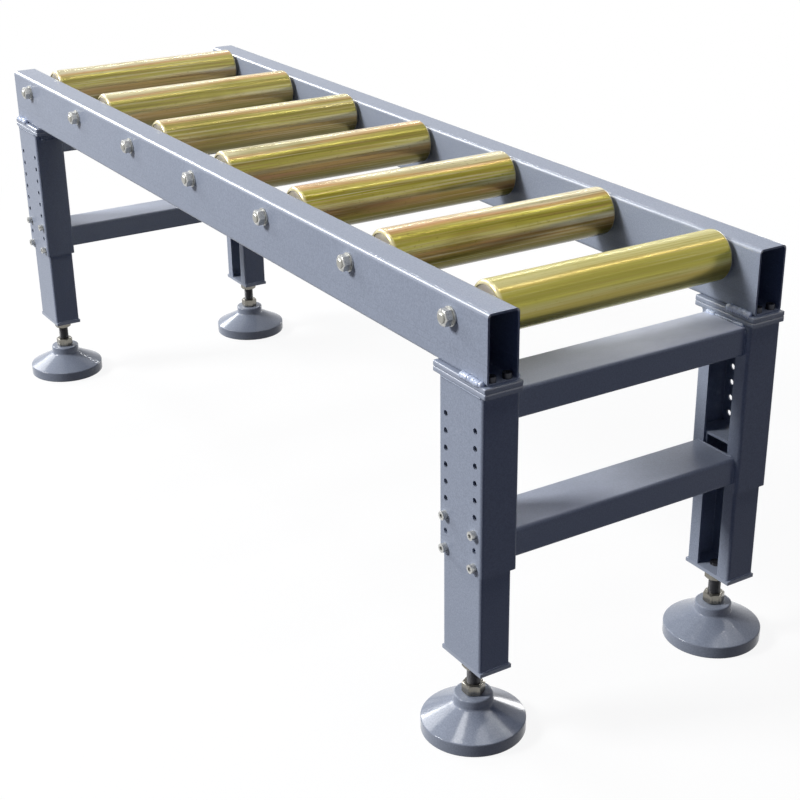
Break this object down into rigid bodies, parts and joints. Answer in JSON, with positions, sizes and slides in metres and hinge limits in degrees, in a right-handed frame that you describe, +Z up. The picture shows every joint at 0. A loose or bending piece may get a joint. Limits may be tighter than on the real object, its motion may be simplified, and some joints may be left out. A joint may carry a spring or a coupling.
{
  "type": "roller conveyor",
  "caption": "Gravity roller conveyor: free-turning steel rollers between box-section side rails, on telescopic channel legs with crossbars and screw-down levelling feet.",
  "frame": {"origin": "on the floor under the middle of the frame", "axes": "+X along the rails towards the front end, +Y across the rails to the right rail, +Z up"},
  "size_m": [1.793, 0.619, 0.677],
  "materials": {
    "paint": "semi-gloss slate blue paint",
    "foot_paint": "semi-gloss slate blue paint",
    "base_plate": "semi-gloss slate blue paint",
    "yellow_zinc": "yellow passivated zinc, satin, streaked",
    "pressed_end": "pale passivated zinc, satin",
    "zinc": "bright zinc",
    "stud": "zinc, slightly yellowed",
    "black_screw": "black oxide",
    "steel": "turned steel"
  },
  "bodies": {
    "frame": {"left_rail": "paint", "right_rail": "paint", "rail_plates_front": "paint", "rail_plates_rear": "paint", "leg_plates_front": "paint", "leg_plates_rear": "paint", "outer_leg_front_left": "paint", "outer_leg_front_right": "paint", "outer_leg_rear_left": "paint", "outer_leg_rear_right": "paint", "upper_crossbar_front": "paint", "lower_crossbar_front": "paint", "upper_crossbar_rear": "paint", "lower_crossbar_rear": "paint", "flange_screws": "black_screw", "roller_axle_1": "steel", "roller_axle_2": "steel", "roller_axle_3": "steel", "roller_axle_4": "steel", "roller_axle_5": "steel", "roller_axle_6": "steel", "roller_axle_7": "steel", "axle_nuts": "zinc", "axle_washers": "zinc", "axle_sleeves": "steel", "bearing_inner_rings": "steel"},
    "roller_1": {"roller_tube_1": "yellow_zinc", "roller_ends_1": "pressed_end"},
    "roller_2": {"roller_tube_2": "yellow_zinc", "roller_ends_2": "pressed_end"},
    "roller_3": {"roller_tube_3": "yellow_zinc", "roller_ends_3": "pressed_end"},
    "roller_4": {"roller_tube_4": "yellow_zinc", "roller_ends_4": "pressed_end"},
    "roller_5": {"roller_tube_5": "yellow_zinc", "roller_ends_5": "pressed_end"},
    "roller_6": {"roller_tube_6": "yellow_zinc", "roller_ends_6": "pressed_end"},
    "roller_7": {"roller_tube_7": "yellow_zinc", "roller_ends_7": "pressed_end"},
    "leg_front_left": {"inner_leg_front_left": "paint", "base_plate_front_left": "base_plate", "leg_screws_front_left": "zinc"},
    "foot_front_left": {"foot_front_left": "foot_paint"},
    "stud_front_left": {"levelling_stud_front_left": "stud"},
    "leg_front_right": {"inner_leg_front_right": "paint", "base_plate_front_right": "base_plate", "leg_screws_front_right": "zinc"},
    "foot_front_right": {"foot_front_right": "foot_paint"},
    "stud_front_right": {"levelling_stud_front_right": "stud"},
    "leg_rear_left": {"inner_leg_rear_left": "paint", "base_plate_rear_left": "base_plate", "leg_screws_rear_left": "zinc"},
    "foot_rear_left": {"foot_rear_left": "foot_paint"},
    "stud_rear_left": {"levelling_stud_rear_left": "stud"},
    "leg_rear_right": {"inner_leg_rear_right": "paint", "base_plate_rear_right": "base_plate", "leg_screws_rear_right": "zinc"},
    "foot_rear_right": {"foot_rear_right": "foot_paint"},
    "stud_rear_right": {"levelling_stud_rear_right": "stud"}
  },
  "joints": [
    {"name": "roller_1_spin", "type": "hinge", "parent": "frame", "child": "roller_1", "pos_m": [-0.788, 0, 0.639], "axis": [0, 1, 0], "continuous": true},
    {"name": "roller_2_spin", "type": "hinge", "parent": "frame", "child": "roller_2", "pos_m": [-0.524, 0, 0.639], "axis": [0, 1, 0], "continuous": true},
    {"name": "roller_3_spin", "type": "hinge", "parent": "frame", "child": "roller_3", "pos_m": [-0.26, 0, 0.639], "axis": [0, 1, 0], "continuous": true},
    {"name": "roller_4_spin", "type": "hinge", "parent": "frame", "child": "roller_4", "pos_m": [0.004, 0, 0.639], "axis": [0, 1, 0], "continuous": true},
    {"name": "roller_5_spin", "type": "hinge", "parent": "frame", "child": "roller_5", "pos_m": [0.268, 0, 0.639], "axis": [0, 1, 0], "continuous": true},
    {"name": "roller_6_spin", "type": "hinge", "parent": "frame", "child": "roller_6", "pos_m": [0.532, 0, 0.639], "axis": [0, 1, 0], "continuous": true},
    {"name": "roller_7_spin", "type": "hinge", "parent": "frame", "child": "roller_7", "pos_m": [0.796, 0, 0.639], "axis": [0, 1, 0], "continuous": true},
    {"name": "leg_height_front_left", "type": "slide", "parent": "frame", "child": "leg_front_left", "axis": [0, 0, 1], "range_m": [0, 0.153]},
    {"name": "foot_height_front_left", "type": "slide", "parent": "leg_front_left", "child": "foot_front_left", "axis": [0, 0, 1], "range_m": [-0.008, 0.022]},
    {"name": "stud_turn_front_left", "type": "hinge", "parent": "foot_front_left", "child": "stud_front_left", "pos_m": [0.819, -0.232, 0.08], "axis": [0, 0, 1], "range_deg": [-1153, 3169]},
    {"name": "leg_height_front_right", "type": "slide", "parent": "frame", "child": "leg_front_right", "axis": [0, 0, 1], "range_m": [0, 0.153]},
    {"name": "foot_height_front_right", "type": "slide", "parent": "leg_front_right", "child": "foot_front_right", "axis": [0, 0, 1], "range_m": [-0.008, 0.022]},
    {"name": "stud_turn_front_right", "type": "hinge", "parent": "foot_front_right", "child": "stud_front_right", "pos_m": [0.819, 0.232, 0.08], "axis": [0, 0, 1], "range_deg": [-1153, 3169]},
    {"name": "leg_height_rear_left", "type": "slide", "parent": "frame", "child": "leg_rear_left", "axis": [0, 0, 1], "range_m": [0, 0.153]},
    {"name": "foot_height_rear_left", "type": "slide", "parent": "leg_rear_left", "child": "foot_rear_left", "axis": [0, 0, 1], "range_m": [-0.008, 0.022]},
    {"name": "stud_turn_rear_left", "type": "hinge", "parent": "foot_rear_left", "child": "stud_rear_left", "pos_m": [-0.819, -0.232, 0.08], "axis": [0, 0, 1], "range_deg": [-1153, 3169]},
    {"name": "leg_height_rear_right", "type": "slide", "parent": "frame", "child": "leg_rear_right", "axis": [0, 0, 1], "range_m": [0, 0.153]},
    {"name": "foot_height_rear_right", "type": "slide", "parent": "leg_rear_right", "child": "foot_rear_right", "axis": [0, 0, 1], "range_m": [-0.008, 0.022]},
    {"name": "stud_turn_rear_right", "type": "hinge", "parent": "foot_rear_right", "child": "stud_rear_right", "pos_m": [-0.819, 0.232, 0.08], "axis": [0, 0, 1], "range_deg": [-1153, 3169]}
  ],
  "couplings": [
    {"joint": "stud_turn_front_left", "follows": "foot_height_front_left", "rad_per_m": 2513.3},
    {"joint": "stud_turn_front_right", "follows": "foot_height_front_right", "rad_per_m": 2513.3},
    {"joint": "stud_turn_rear_left", "follows": "foot_height_rear_left", "rad_per_m": 2513.3},
    {"joint": "stud_turn_rear_right", "follows": "foot_height_rear_right", "rad_per_m": 2513.3}
  ]
}
